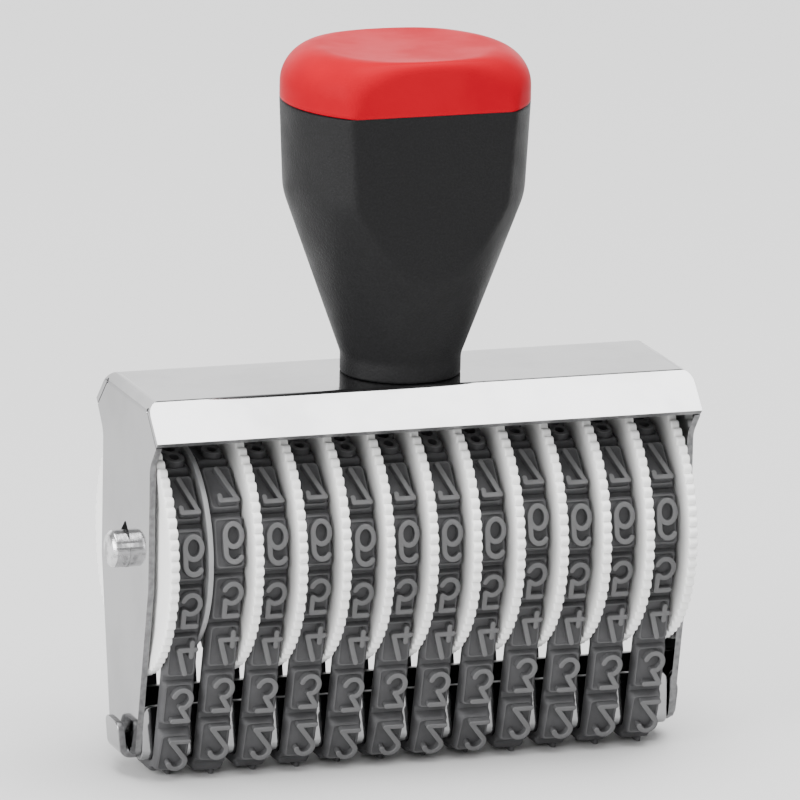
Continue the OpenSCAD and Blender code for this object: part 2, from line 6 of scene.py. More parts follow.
import bmesh
import bpy
import numpy as np
from bpy.props import FloatProperty, FloatVectorProperty, IntProperty, PointerProperty
from bpy.types import Operator, Panel, PropertyGroup
from mathutils import Matrix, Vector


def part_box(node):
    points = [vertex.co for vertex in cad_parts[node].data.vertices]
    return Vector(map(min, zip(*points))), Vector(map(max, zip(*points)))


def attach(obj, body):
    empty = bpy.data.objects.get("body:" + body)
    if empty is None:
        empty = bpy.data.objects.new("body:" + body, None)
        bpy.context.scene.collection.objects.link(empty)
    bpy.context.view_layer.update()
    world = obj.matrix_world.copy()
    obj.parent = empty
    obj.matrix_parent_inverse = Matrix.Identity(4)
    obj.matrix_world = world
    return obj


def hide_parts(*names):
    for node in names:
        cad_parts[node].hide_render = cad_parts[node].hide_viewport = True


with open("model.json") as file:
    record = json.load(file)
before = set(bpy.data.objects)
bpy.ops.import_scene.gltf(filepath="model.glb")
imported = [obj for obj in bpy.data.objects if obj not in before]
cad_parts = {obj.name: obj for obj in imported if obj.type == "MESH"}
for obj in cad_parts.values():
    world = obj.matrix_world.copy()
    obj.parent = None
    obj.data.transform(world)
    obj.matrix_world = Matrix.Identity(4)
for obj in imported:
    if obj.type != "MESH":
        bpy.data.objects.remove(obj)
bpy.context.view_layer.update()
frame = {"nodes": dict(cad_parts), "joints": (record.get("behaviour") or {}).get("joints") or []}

bl_info = {
    "name": "Numbering Stamp",
    "version": (1, 0, 0),
    "blender": (4, 5, 0),
    "location": "View3D > Sidebar > Stamp",
    "description": "Builds a hand numbering stamp with turning thumbwheels",
    "category": "Add Mesh",
}

MM = 0.001
WHEELS = 12
AXLE_Z = frame["joints"][0]["pos_m"][2]
CHARACTERS = ["1", "2", "3", "4", "5", "6", "7", "8", "9", "0", "-", "/", ".", "+", " "]
# How far the character at the print face stands forward of the middle, band by band, in millimetres
WOUND_PAST = [0.6, 1.6, 1.2, 1.3, 0.5, 0.6, 0.4, 0.4, 1.4, 1.1, 1.0, 1.1]
# The rings of a pad, from its side over its rim to its field: how far each is drawn in from the edges
# of the belt, how far its ends lie beyond those of the pad's top, both in millimetres, and its height
# as a share of the pad's
PAD_RINGS = [
    (0.04, 0.12, 0.3), (0.24, 0.0, 0.85), (0.32, -0.06, 0.97),
    (0.38, -0.11, 1.0), (0.46, -0.19, 1.0),
    (0.51, -0.24, 0.97), (0.58, -0.31, 0.89), (0.66, -0.39, 0.87), (0.95, -0.68, 0.87),
]
# The point that the camera and the soft boxes are turned to, close to the middle of the axle
VIEW_MIDDLE = (-0.12 * MM, 0, AXLE_Z + 0.3 * MM)


def length(name, text, default_mm):
    """A size that a user may change, given in millimetres and kept in metres."""
    return FloatProperty(
        name=name, description=text, default=default_mm * MM, subtype="DISTANCE", unit="LENGTH", precision=5
    )


def view_angle(name, text, default_degrees):
    """An angle of the camera, given in degrees and kept in radians."""
    return FloatProperty(
        name=name, description=text, default=math.radians(default_degrees), subtype="ANGLE", unit="ROTATION"
    )


def light_level(name, text, default):
    """A brightness that a user may change."""
    return FloatProperty(name=name, description=text, default=default, min=0.0)


def colour(name, text, default):
    """A surface colour that a user may change."""
    return FloatVectorProperty(
        name=name, description=text, default=default, subtype="COLOR", size=3, min=0.0, max=1.0
    )


class SheetSizes(PropertyGroup):
    """Sizes of the sheet metal and of the rounded edges of metal parts."""

    housing: length("Housing sheet", "Thickness of the housing's sheet", 0.7)
    bridge: length("Bridge sheet", "Thickness of the print bridge's sheet", 0.8)
    sheet_edge: length("Sheet edge", "Radius of the sheet's rounded edges", 0.13)
    turned_edge: length("Turned edge", "Radius of the rounded edges of axle, disc and screw", 0.12)
    washer_edge: length("Washer edge", "Radius of the washer's rounded edges", 0.08)


class BandSizes(PropertyGroup):
    """Sizes of the rubber number bands and of the path they run on."""

    width: length("Band width", "Width of a rubber band", 3.8)
    belt: length("Belt thickness", "Thickness of the plain belt under the pads", 0.8)
    pad: length("Pad height", "Height of a character pad above the belt", 0.65)
    type_height: length("Type height", "Height of a raised figure above its pad", 0.65)
    foot_gap: length("Foot gap", "Free length between the feet of two pads", 0.6)
    top_gap: length("Top gap", "Free length between the tops of two pads where the belt is flat", 0.9)
    figure_height: length("Figure height", "Overall height of a figure", 4.5)
    figure_width: length("Figure width", "Overall width of a figure", 2.6)
    stroke: length("Stroke width", "Width of the strokes of a figure", 0.66)
    shift: length("Figure shift", "Distance from the middle of a band to its figures", 0.4)
    drum_gap: length("Drum gap", "Radial gap between the drum and its band", 0.3)
    bridge_gap: length("Bridge gap", "Gap between the print bridge and its band", 0.05)
    turn_radius: length("Turn radius", "Radius of the band's middle surface at the bridge edges", 1.75)
    flat: length("Flat half", "Half the flat part of the path under the bridge", 3.3)


class WheelSizes(PropertyGroup):
    """Sizes of the thumbwheels."""

    teeth: IntProperty(name="Teeth", description="Number of rounded teeth", default=72, min=12, max=120)
    tooth_depth: length("Tooth depth", "Depth of the valleys between the teeth", 0.5)
    flange: length("Flange thickness", "Thickness of the toothed flange", 1.0)
    drum: length("Drum radius", "Radius of the drum under the band", 9.35)
    drum_wall: length("Drum wall", "Wall of the drum", 1.3)
    boss: length("Boss radius", "Radius of the boss round the axle", 3.7)
    bore: length("Bore radius", "Radius of the bore for the axle", 2.15)
    dish: length("Dish", "Depth of the hollow in the outer face of the flange", 0.3)
    edge: length("Wheel edge", "Radius of the wheel's rounded edges", 0.18)
    ribs: IntProperty(name="Ribs", description="Ribs between boss and drum", default=6, min=1, max=24)
    rib: length("Rib thickness", "Thickness of a rib between boss and drum", 0.9)
    # Painted shade on the flange's inner face beside the band: where it starts and how wide it gets
    painted_shade_start: length("Painted shade start", "From the valleys in to where painted shade on the flange starts", 0.2)
    painted_shade_width: length("Painted shade width", "Width over which the painted shade gets dark", 2.4)


class HandleSizes(PropertyGroup):
    """Sizes of the grip and its cap."""

    flat: length("Flat distance", "Distance from the middle to each flat", 10.25)
    neck: length("Neck height", "Height of the straight neck", 2.2)
    neck_radius: length("Neck radius", "Radius of the straight neck", 6.8)
    shoulder: length("Shoulder height", "Height of the shoulder above the housing", 20.8)
    shoulder_radius: length("Shoulder radius", "Radius of the grip at its shoulder", 13.55)
    groove: length("Groove", "Depth of the chamfers of the groove between grip and cap", 0.14)
    crease: length("Crease softness", "Softness of the grip's edges between flats and round sides", 0.35)
    cap_crease: length("Cap crease softness", "Softness of the edge between the cap's flats and its top", 2.8)
    edge: length("Cap edge", "Radius of the cap's rounded edge", 4.3)
    hollow: length("Cap hollow", "Depth of the shallow hollow in the cap's top", 0.22)


class FinishColours(PropertyGroup):
    """Colours of the stamp's materials."""

    chrome: colour("Chrome", "Plated sheet", (0.35, 0.35, 0.355))
    cut_edge: colour("Cut edge", "Stamped edges of the sheet", (0.2, 0.2, 0.203))
    steel: colour("Steel", "Turned steel", (0.66, 0.66, 0.665))
    disc: colour("Disc", "Plain disc between the first two bands", (0.27, 0.272, 0.276))
    wheel: colour("Wheel", "White moulded wheels", (0.88, 0.88, 0.87))
    rubber: colour("Rubber", "Number bands", (0.049, 0.049, 0.051))
    figure: colour("Figure", "Tops of the raised figures", (0.112, 0.112, 0.114))
    grip: colour("Grip", "Black grip", (0.005, 0.005, 0.0054))
    cap: colour("Cap", "Red cap", (0.36, 0.0004, 0.01))
    floor: colour("Floor", "Pale floor", (0.58, 0.58, 0.58))


class StudioSettings(PropertyGroup):
    """Where the camera stands and how the light falls."""

    azimuth: view_angle("Azimuth", "Camera angle round the stamp", 19.03)
    elevation: view_angle("Elevation", "Camera angle above the horizon", 13.63)
    roll: view_angle("Roll", "Turn of the camera about its view", 1.083)
    lens: FloatProperty(name="Lens", description="Focal length in millimetres", default=489.76, unit="CAMERA")
    distance: length("Distance", "From the camera to the plane of the view's middle", 1225.6)
    aim_right: length("Aim right", "Picture centre to the right of the view's middle", 0.45)
    aim_up: length("Aim up", "Picture centre above the view's middle", 14.35)
    sky: light_level("Sky", "Strength of the even light", 0.6)
    ceiling: light_level("Ceiling", "Brightness of the panel above", 10.0)
    back: light_level("Back", "Brightness of the panel behind the stamp", 1.9)
    left: light_level("Left", "Brightness of the soft box at the left", 11.0)
    front: light_level("Front", "Brightness of the soft box in front", 6.0)


# ---- Meshes from grids ----


class Surfaces:
    """Collects grids of points and puts them into one mesh."""

    def __init__(self):
        self.points, self.faces, self.tints, self.count = [], [], [], 0

    def grid(self, points, along=False, tint=0.0):
        """Adds a grid of points in millimetres, rows by columns. Each row is a closed ring, and the
        last row is joined to the first where the grid also closes along its rows. Quads are turned
        so that the volume they hold is positive. The tint is the share of the finish's second colour."""
        rows, columns = points.shape[:2]
        r, c = np.meshgrid(np.arange(rows if along else rows - 1), np.arange(columns), indexing="ij")
        r, c = r.ravel(), c.ravel()
        r2, c2 = (r + 1) % rows, (c + 1) % columns
        quads = np.stack([r * columns + c, r * columns + c2, r2 * columns + c2, r2 * columns + c], 1)
        flat = points.reshape(-1, 3)
        first, second, third, fourth = (flat[corner] for corner in quads.T)
        volume = np.sum(first * (np.cross(second, third) + np.cross(third, fourth)))
        self.points.append(flat)
        self.faces.append((quads[:, ::-1] if volume < 0 else quads) + self.count)
        self.tints.append(np.broadcast_to(tint, (rows, columns)).ravel())
        self.count += len(flat)

    def move(self, offset, side=1):
        """Moves what was collected by an offset, after mirroring it in X where the side is -1."""
        self.points = [points * (side, 1, 1) + offset for points in self.points]
        self.faces = [faces[:, ::side] for faces in self.faces]

    def mesh(self, name):
        """The collected grids as one mesh in metres. Points that fall together are merged, which
        closes the poles."""
        merge = 2e-7
        points = np.concatenate(self.points) * MM
        faces = np.concatenate(self.faces)
        mesh = bpy.data.meshes.new(name)
        mesh.vertices.add(len(points))
        mesh.vertices.foreach_set("co", points.ravel())
        mesh.loops.add(faces.size)
        mesh.loops.foreach_set("vertex_index", faces.ravel())
        mesh.polygons.add(len(faces))
        mesh.polygons.foreach_set("loop_start", np.arange(0, faces.size, 4))
        layer = mesh.attributes.new("tint", "FLOAT", "POINT")
        layer.data.foreach_set("value", np.concatenate(self.tints))
        mesh.update()
        mesh.validate()
        work = bmesh.new()
        work.from_mesh(mesh)
        bmesh.ops.remove_doubles(work, verts=work.verts, dist=merge)
        bmesh.ops.dissolve_degenerate(work, edges=work.edges, dist=merge)
        work.to_mesh(mesh)
        work.free()
        return mesh


def add_piece(name, mesh, material, body, node, sharp):
    """Puts a mesh into the scene as a piece that rides on a body and stands for a CAD node. Its
    shading is smooth, apart from edges sharper than an angle in degrees."""
    mesh.polygons.foreach_set("use_smooth", np.ones(len(mesh.polygons), bool))
    mesh.set_sharp_from_angle(angle=math.radians(sharp))
    mesh.materials.clear()
    mesh.materials.append(material)
    piece = bpy.data.objects.new(name, mesh)
    bpy.context.scene.collection.objects.link(piece)
    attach(piece, body)
    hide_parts(node)
    return piece


def revolve_z(profile, steps):
    """Points of a profile of radius and height turned round Z."""
    angle = np.linspace(0, 2 * np.pi, steps, endpoint=False)
    r, z = profile[:, 0][:, None], profile[:, 1][:, None]
    return np.stack([r * np.cos(angle), r * np.sin(angle), z + 0 * angle], -1)


def arc(centre, radius, start, end, steps):
    """Points of a circular arc from start to end, in degrees."""
    a = np.radians(np.linspace(start, end, steps))
    return np.stack([centre[0] + radius * np.cos(a), centre[1] + radius * np.sin(a)], -1)


def joined(*parts):
    """Rows of points put one after the other."""
    return np.concatenate([np.atleast_2d(np.asarray(p, float)) for p in parts])


# ---- Materials ----


class Finish:
    """A material with one Principled shader and short calls for its texture nodes."""

    def __init__(self, name):
        self.material = bpy.data.materials.get(name) or bpy.data.materials.new(name)
        self.material.use_nodes = True
        self.tree = self.material.node_tree
        self.tree.nodes.clear()
        self.shader = self.tree.nodes.new("ShaderNodeBsdfPrincipled")
        output = self.tree.nodes.new("ShaderNodeOutputMaterial")
        self.tree.links.new(self.shader.outputs["BSDF"], output.inputs["Surface"])
        self.place = self.tree.nodes.new("ShaderNodeTexCoord").outputs["Object"]

    def put(self, value, socket):
        """Links an output, or sets a number, on a socket."""
        if isinstance(value, bpy.types.NodeSocket):
            self.tree.links.new(value, socket)
        else:
            socket.default_value = value

    def stretched(self, x, y, z):
        """Object coordinates stretched along each axis."""
        node = self.tree.nodes.new("ShaderNodeMapping")
        node.inputs["Scale"].default_value = (x, y, z)
        self.put(self.place, node.inputs["Vector"])
        return node.outputs["Vector"]

    def noise(self, scale, detail, roughness=0.55, place=None):
        """Noise with features of about one over its scale, in metres."""
        node = self.tree.nodes.new("ShaderNodeTexNoise")
        node.inputs["Scale"].default_value = scale
        node.inputs["Detail"].default_value = detail
        node.inputs["Roughness"].default_value = roughness
        self.put(place or self.place, node.inputs["Vector"])
        return node.outputs["Fac"]

    def cells(self, scale):
        """Distance to the nearest of scattered points."""
        node = self.tree.nodes.new("ShaderNodeTexVoronoi")
        node.inputs["Scale"].default_value = scale
        self.put(self.place, node.inputs["Vector"])
        return node.outputs["Distance"]

    def rings(self, scale, distortion):
        """Fine lathe rings round the X axis."""
        node = self.tree.nodes.new("ShaderNodeTexWave")
        node.wave_type = "RINGS"
        node.rings_direction = "X"
        node.inputs["Scale"].default_value = scale
        node.inputs["Distortion"].default_value = distortion
        self.put(self.place, node.inputs["Vector"])
        return node.outputs["Fac"]

    def attribute(self, name):
        """A number kept on the mesh."""
        node = self.tree.nodes.new("ShaderNodeAttribute")
        node.attribute_name = name
        return node.outputs["Fac"]

    def ramp(self, value, low, high, to_low, to_high):
        """A number carried from one range to another, with smooth ends."""
        node = self.tree.nodes.new("ShaderNodeMapRange")
        node.interpolation_type = "SMOOTHSTEP"
        for socket, number in zip(("From Min", "From Max", "To Min", "To Max"), (low, high, to_low, to_high)):
            node.inputs[socket].default_value = number
        self.put(value, node.inputs["Value"])
        return node.outputs["Result"]

    def mix(self, factor, a, b):
        """A colour between two colours."""
        node = self.tree.nodes.new("ShaderNodeMix")
        node.data_type = "RGBA"
        # A Mix node has sockets of the same name for numbers, vectors and colours, so they go by place
        factor_in, a_in, b_in, colour_out = node.inputs[0], node.inputs[6], node.inputs[7], node.outputs[2]
        self.put(factor, factor_in)
        for value, socket in ((a, a_in), (b, b_in)):
            self.put(value if isinstance(value, bpy.types.NodeSocket) else (*value, 1), socket)
        return colour_out

    def bump(self, height, depth, strength, under=None):
        """A bump of a real depth in metres, over another one."""
        node = self.tree.nodes.new("ShaderNodeBump")
        node.inputs["Strength"].default_value = strength
        node.inputs["Distance"].default_value = depth
        self.put(height, node.inputs["Height"])
        if under is not None:
            self.put(under, node.inputs["Normal"])
        return node.outputs["Normal"]

    def use(self, **sockets):
        """Links outputs to sockets of the shader, or sets numbers on them, and gives the material."""
        for socket, value in sockets.items():
            self.put(value, self.shader.inputs[socket.replace("_", " ")])
        return self.material


def shade(rgb, factor):
    """A colour made darker or lighter."""
    return tuple(min(1.0, c * factor) for c in rgb)


def chrome_finish(rgb):
    """Bright plating on rolled sheet: faint rolling lines along X, slow waviness and a few smudges."""
    f = Finish("plated_sheet")
    smudge = f.noise(90, 4)
    rolled = f.noise(1, 2, place=f.stretched(60, 2600, 2600))
    wave = f.noise(55, 1)
    return f.use(
        Metallic=1.0,
        Base_Color=f.mix(f.ramp(smudge, 0.4, 0.7, 0, 1), rgb, shade(rgb, 0.84)),
        Roughness=f.ramp(smudge, 0.3, 0.75, 0.05, 0.13),
        Normal=f.bump(rolled, 4e-6, 0.4, f.bump(wave, 5e-5, 0.5)),
    )


def cut_edge_finish(rgb):
    """The stamped edge of the sheet: duller than its faces, with fine tears across it."""
    f = Finish("cut_edge")
    tears = f.noise(1500, 4)
    return f.use(
        Metallic=1.0,
        Base_Color=f.mix(f.ramp(tears, 0.35, 0.7, 0, 1), rgb, shade(rgb, 0.7)),
        Roughness=f.ramp(tears, 0.3, 0.7, 0.32, 0.5),
        Normal=f.bump(tears, 3e-5, 0.5),
    )


def steel_finish(rgb):
    """Turned steel with fine lathe rings about X and darker stains."""
    f = Finish("turned_steel")
    stain = f.noise(700, 4)
    turned = f.rings(1500, 0.4)
    return f.use(
        Metallic=1.0,
        Base_Color=f.mix(f.ramp(stain, 0.45, 0.65, 0, 1), rgb, shade(rgb, 0.5)),
        Roughness=f.ramp(stain, 0.3, 0.7, 0.154, 0.33),
        Normal=f.bump(turned, 6e-6, 0.4, f.bump(stain, 8e-5, 0.4)),
    )


def disc_finish(rgb):
    """Smooth light grey disc with a soft sheen."""
    f = Finish("smooth_disc")
    cloud = f.noise(260, 3)
    return f.use(
        Base_Color=f.mix(f.ramp(cloud, 0.35, 0.7, 0, 1), rgb, shade(rgb, 0.88)),
        Roughness=f.ramp(cloud, 0.3, 0.7, 0.36, 0.48),
        Normal=f.bump(f.noise(2400, 2), 4e-6, 0.3),
    )


def wheel_finish(rgb):
    """White moulded plastic: a fine matte skin, slight clouding, a trace of grey in places and
    painted shade on the flange beside the band."""
    f = Finish("white_moulding")
    cloud = f.noise(170, 3)
    greyed = f.noise(900, 4)
    clouded = f.mix(f.ramp(cloud, 0.35, 0.75, 0, 0.6), rgb, shade(rgb, 0.93))
    unshaded = f.mix(f.ramp(greyed, 0.6, 0.82, 0, 0.5), clouded, shade(rgb, 0.8))
    return f.use(
        # Painted shade: the flange is darkened towards the drum where the tint attribute rises
        Base_Color=f.mix(f.attribute("tint"), unshaded, shade(rgb, 0.36)),
        Roughness=f.ramp(cloud, 0.3, 0.7, 0.42, 0.56),
        Normal=f.bump(f.noise(3200, 3), 8e-6, 0.35, f.bump(cloud, 3e-5, 0.2)),
    )


def rubber_finish(rgb, figure_rgb):
    """Dark moulded rubber, with a painted highlight on the rims of the pads and lighter wear on the tops of
    the figures.
    """
    f = Finish("band_rubber")
    cloud = f.noise(420, 4)
    grain = f.noise(5200, 3)
    bloom = f.mix(f.ramp(cloud, 0.35, 0.72, 0, 0.8), rgb, shade(rgb, 1.5))
    return f.use(
        Specular_IOR_Level=0.35,
        Base_Color=f.mix(f.attribute("tint"), bloom, figure_rgb),
        Roughness=f.ramp(cloud, 0.3, 0.7, 0.56, 0.78),
        Normal=f.bump(grain, 1.4e-5, 0.45, f.bump(cloud, 4e-5, 0.3)),
    )


def grip_finish(rgb):
    """Black plastic with a fine spark-eroded texture."""
    f = Finish("black_grip")
    pits = f.cells(2900)
    grain = f.noise(4200, 4, roughness=0.65)
    cloud = f.noise(120, 3)
    return f.use(
        Specular_IOR_Level=0.18,
        Base_Color=f.mix(f.ramp(grain, 0.35, 0.75, 0, 1), shade(rgb, 0.7), shade(rgb, 1.7)),
        Roughness=f.ramp(cloud, 0.3, 0.7, 0.44, 0.58),
        Normal=f.bump(pits, 3e-5, 0.6, f.bump(grain, 7e-5, 0.8)),
    )


def cap_finish(rgb):
    """Red satin plastic with slight clouding and a very fine grain."""
    f = Finish("red_cap")
    cloud = f.noise(150, 3)
    grain = f.noise(3600, 3)
    return f.use(
        Specular_IOR_Level=0.015,
        Base_Color=f.mix(f.ramp(cloud, 0.35, 0.72, 0, 1), rgb, shade(rgb, 0.9)),
        Roughness=f.ramp(cloud, 0.3, 0.7, 0.32, 0.42),
        Normal=f.bump(grain, 9e-6, 0.4, f.bump(cloud, 3e-5, 0.2)),
    )


def floor_finish(rgb):
    """Matte pale floor."""
    f = Finish("pale_floor")
    cloud = f.noise(9, 3)
    return f.use(Roughness=0.9, Base_Color=f.mix(f.ramp(cloud, 0.3, 0.7, 0, 1), rgb, shade(rgb, 0.985)))


# ---- Sheet metal and turned parts: the CAD's own shapes with rounded edges ----


def is_cut_edge(face, sheet):
    """True for a face about as narrow as the sheet is thick, with two or more steep edges. Its
    other edges only run across the sheet. A narrow face's width is twice its area over its perimeter."""
    steep, widest, longest = math.radians(50), 1.1 * sheet, 1.2 * sheet
    width = 2 * face.calc_area() / face.calc_perimeter()
    is_steep = [edge.is_manifold and edge.calc_face_angle() > steep for edge in face.edges]
    across = [edge.calc_length() for edge, along in zip(face.edges, is_steep) if not along]
    return width < widest and sum(is_steep) >= 2 and all(reach < longest for reach in across)


def soft_copy(node, name, material, edge, cut=None):
    """A merged copy of a CAD node whose sharp edges are rounded by a bevel. A sheet's cut edges
    have a material of their own, given in a pair with the sheet's thickness."""
    merge, flat_angle, bevel_angle = 2e-6, math.radians(0.5), math.radians(32)
    mesh = frame["nodes"][node].data.copy()
    work = bmesh.new()
    work.from_mesh(mesh)
    bmesh.ops.remove_doubles(work, verts=work.verts, dist=merge)
    bmesh.ops.dissolve_limit(work, angle_limit=flat_angle, verts=work.verts, edges=work.edges, delimit=set())
    is_cut = [is_cut_edge(face, cut[1]) for face in work.faces] if cut else []
    work.to_mesh(mesh)
    work.free()
    piece = add_piece(name, mesh, material, "stamp_body", node, sharp=180.0)
    if cut:
        mesh.materials.append(cut[0])
        mesh.polygons.foreach_set("material_index", np.array(is_cut, np.int32))
    bevel = piece.modifiers.new("rounded_edges", "BEVEL")
    bevel.width = edge
    bevel.segments = 3
    bevel.limit_method = "ANGLE"
    bevel.angle_limit = bevel_angle
    bevel.use_clamp_overlap = True
    normals = piece.modifiers.new("flat_faces", "WEIGHTED_NORMAL")
    normals.weight = 100
    normals.keep_sharp = False


class STAMP_OT_sheet_metal(Operator):
    """Builds the housing and the print bridge from their solids, with rounded sheet edges"""

    bl_idname = "stamp.sheet_metal"
    bl_label = "Housing and bridge"

    def execute(self, context):
        s, colours = context.scene.stamp_sheet, context.scene.stamp_colours
        chrome, cut = chrome_finish(colours.chrome), cut_edge_finish(colours.cut_edge)
        soft_copy("housing", "housing_sheet", chrome, s.sheet_edge, (cut, s.housing))
        soft_copy("print_bridge", "bridge_channel", chrome, s.sheet_edge, (cut, s.bridge))
        return {"FINISHED"}


class STAMP_OT_turned_parts(Operator):
    """Gives the axle, the disc, the screw and its washer rounded edges and their finishes"""

    bl_idname = "stamp.turned_parts"
    bl_label = "Axle, disc and screw"

    def execute(self, context):
        s, colours = context.scene.stamp_sheet, context.scene.stamp_colours
        steel, grey = steel_finish(colours.steel), disc_finish(colours.disc)
        soft_copy("axle", "axle_pin", steel, s.turned_edge)
        soft_copy("handle_screw", "handle_screw_body", steel, s.turned_edge)
        soft_copy("screw_washer", "screw_washer_ring", steel, s.washer_edge)
        soft_copy("separator_disc", "separator_disc_ring", grey, s.turned_edge)
        return {"FINISHED"}


# ---- Thumbwheels ----


def wheel_section(s, tip, left):
    """Half section of a wheel as a closed loop of place along the axle and radius. It starts at the
    bore and goes over the dished outer face, the teeth, the inner face, the drum and the boss."""
    edge, outer, dish, fillet = s.edge / MM, s.flange / MM, s.dish / MM, 0.15
    valley = tip - s.tooth_depth / MM
    # Where the painted shade on the flange's inner face starts, below the valleys
    painted_shade_top = valley - s.painted_shade_start / MM
    drum, inner, boss, bore = (v / MM for v in (s.drum, s.drum - s.drum_wall, s.boss, s.bore))
    # The dish slopes from the flat rim down to its foot and is eased at both ends of the slope
    rim, foot, boss_slope = valley - 0.3, valley - 3.2, 0.3
    rim_ease, foot_ease, ease_depth = 0.3, 0.4, 0.07 * dish
    outer_face = [
        (outer, bore + edge), (outer, boss), (outer - dish, boss + boss_slope), (outer - dish, foot),
        (outer - dish + ease_depth, foot + foot_ease), (outer - ease_depth, rim - rim_ease), (outer, rim),
    ]
    teeth = joined(arc((outer - edge, tip - edge), edge, 0, 90, 4), arc((edge, tip - edge), edge, 90, 180, 4))
    inner_face = [(0, painted_shade_top), (0, painted_shade_top - s.painted_shade_width / MM / 2), (0, drum + fillet), (-fillet, drum)]
    drum_end = [(left + edge, drum), (left, drum - edge), (left, inner + edge), (left + edge, inner)]
    hollow = [(0, inner), (0, boss)]
    boss_end = [(left + edge, boss), (left, boss - edge), (left, bore + edge), (left + edge, bore)]
    return joined(outer_face, teeth, inner_face, drum_end, hollow, boss_end, (outer - edge, bore))


def wheel_surface(s, tip, left):
    """A wheel turned about X, and the share of painted shade on each ring of it. Between two valleys the
    radius of a toothed point falls from the tip with the square of the angle from the tooth's middle, by
    the tooth depth. The painted shade on the inner face gets darker towards the band."""
    loop = wheel_section(s, tip, left)
    x, radius = loop[:, 0][:, None], loop[:, 1][:, None]
    depth = s.tooth_depth / MM
    valley = tip - depth
    steps_per_tooth = 8
    angle = np.linspace(0, 2 * np.pi, s.teeth * steps_per_tooth, endpoint=False)
    from_middle = (angle * s.teeth / (2 * np.pi) + 0.5) % 1.0 * 2 - 1
    toothed = radius - (radius > valley) * depth * from_middle**2
    points = np.stack([x + 0 * angle, -toothed * np.sin(angle), toothed * np.cos(angle)], -1)
    # Painted shade, darker towards the drum, only on the flange's inner face
    painted_shade = np.clip((valley - s.painted_shade_start / MM - radius) / (s.painted_shade_width / MM), 0, 1)
    return points, painted_shade * (x < s.flange / MM / 2)


def box_grid(low, high):
    """A closed box as a grid of two end points and two rectangles, low to high."""
    (x0, y0, z0), (x1, y1, z1) = low, high
    rectangle = [(y0, z0), (y1, z0), (y1, z1), (y0, z1)]
    middle = [((y0 + y1) / 2, (z0 + z1) / 2)] * 4
    rows = ((x0, middle), (x0, rectangle), (x1, rectangle), (x1, middle))
    return np.array([[(x, *corner) for corner in corners] for x, corners in rows])


def wheel_shapes(s, tip, left):
    """The surfaces of one wheel about its axle, with the outer face of its flange towards +X. The
    ribs are sunk into the boss, the drum and the flange."""
    shapes = Surfaces()
    points, painted_shade = wheel_surface(s, tip, left)
    shapes.grid(points, along=True, tint=painted_shade)
    sunk, into_flange, end_step = 0.3, 0.05, 0.02
    half, start, end = s.rib / MM / 2, s.boss / MM - sunk, (s.drum - s.drum_wall) / MM + sunk
    rib = box_grid((left + end_step, -half, start), (into_flange, half, end))
    x, y, z = rib[..., 0], rib[..., 1], rib[..., 2]
    for turn in np.arange(s.ribs) * 2 * np.pi / s.ribs:
        cos, sin = np.cos(turn), np.sin(turn)
        shapes.grid(np.stack([x, cos * y - sin * z, sin * y + cos * z], -1))
    return shapes


class STAMP_OT_thumbwheels(Operator):
    """Builds the twelve thumbwheels with rounded teeth, drum, boss and ribs"""

    bl_idname = "stamp.thumbwheels"
    bl_label = "Thumbwheels"

    def execute(self, context):
        s = context.scene.stamp_wheels
        white = wheel_finish(context.scene.stamp_colours.wheel)
        for number in range(1, WHEELS + 1):
            body, node = f"wheel_{number:02d}", f"thumbwheel_{number:02d}"
            low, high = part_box(node)
            # The first wheel has its flange at the left, and all others have theirs at the right
            side = -1 if number == 1 else 1
            flange_x = low.x + s.flange if side < 0 else high.x - s.flange
            shapes = wheel_shapes(s, (high.z - AXLE_Z) / MM, (s.flange - high.x + low.x) / MM)
            shapes.move((flange_x / MM, 0, AXLE_Z / MM), side)
            name = f"{body}_white"
            add_piece(name, shapes.mesh(name), white, body, node, sharp=40.0)
        return {"FINISHED"}


# ---- Number bands ----


